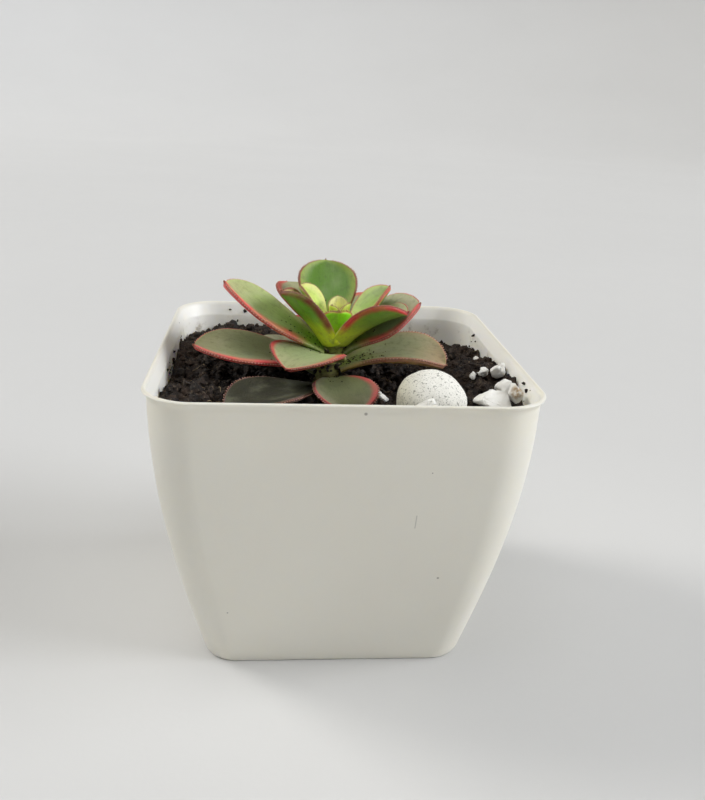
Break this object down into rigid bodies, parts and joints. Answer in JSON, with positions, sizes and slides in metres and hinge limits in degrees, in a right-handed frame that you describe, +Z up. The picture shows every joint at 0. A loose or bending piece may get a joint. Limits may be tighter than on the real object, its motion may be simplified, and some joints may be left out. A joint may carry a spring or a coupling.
{
  "type": "potted kiwi aeonium",
  "caption": "Aeonium rosette with red toothed leaf edges on a short stem, in dark soil with white stones, in a square white plastic pot that widens upwards.",
  "frame": {"origin": "on the surface that the pot stands on, under the middle of the pot", "axes": "+Z up out of the pot, -Y towards the front side of the pot, +X to the right of it"},
  "size_m": [0.105, 0.105, 0.1086],
  "materials": {
    "pot_plastic": "smooth creamy white moulded plastic",
    "soil": "dark crumbly potting mix",
    "stem": "olive brown, scarred",
    "outer_leaf": "grey green, satin, red toothed edge",
    "inner_leaf": "bright green to yellow green, satin, red edge",
    "heart_leaf": "pale yellow green, satin",
    "pebble": "matt, speckled grey",
    "chip": "broken white marble"
  },
  "bodies": {
    "root": {"pot": "pot_plastic", "soil": "soil", "stem": "stem", "leaf_01": "outer_leaf", "leaf_02": "outer_leaf", "leaf_03": "outer_leaf", "leaf_04": "outer_leaf", "leaf_05": "outer_leaf", "leaf_06": "outer_leaf", "leaf_07": "outer_leaf", "leaf_08": "outer_leaf", "leaf_09": "outer_leaf", "leaf_10": "outer_leaf", "leaf_11": "outer_leaf", "leaf_12": "outer_leaf", "leaf_13": "inner_leaf", "leaf_14": "inner_leaf", "leaf_15": "inner_leaf", "leaf_16": "inner_leaf", "leaf_17": "inner_leaf", "leaf_18": "inner_leaf", "heart": "heart_leaf", "pebble": "pebble", "chip_01": "chip", "chip_02": "chip", "chip_03": "chip", "chip_04": "chip", "chip_05": "chip", "chip_06": "chip", "chip_07": "chip", "chip_08": "chip", "chip_09": "chip", "chip_10": "chip", "chip_11": "chip"}
  },
  "joints": []
}
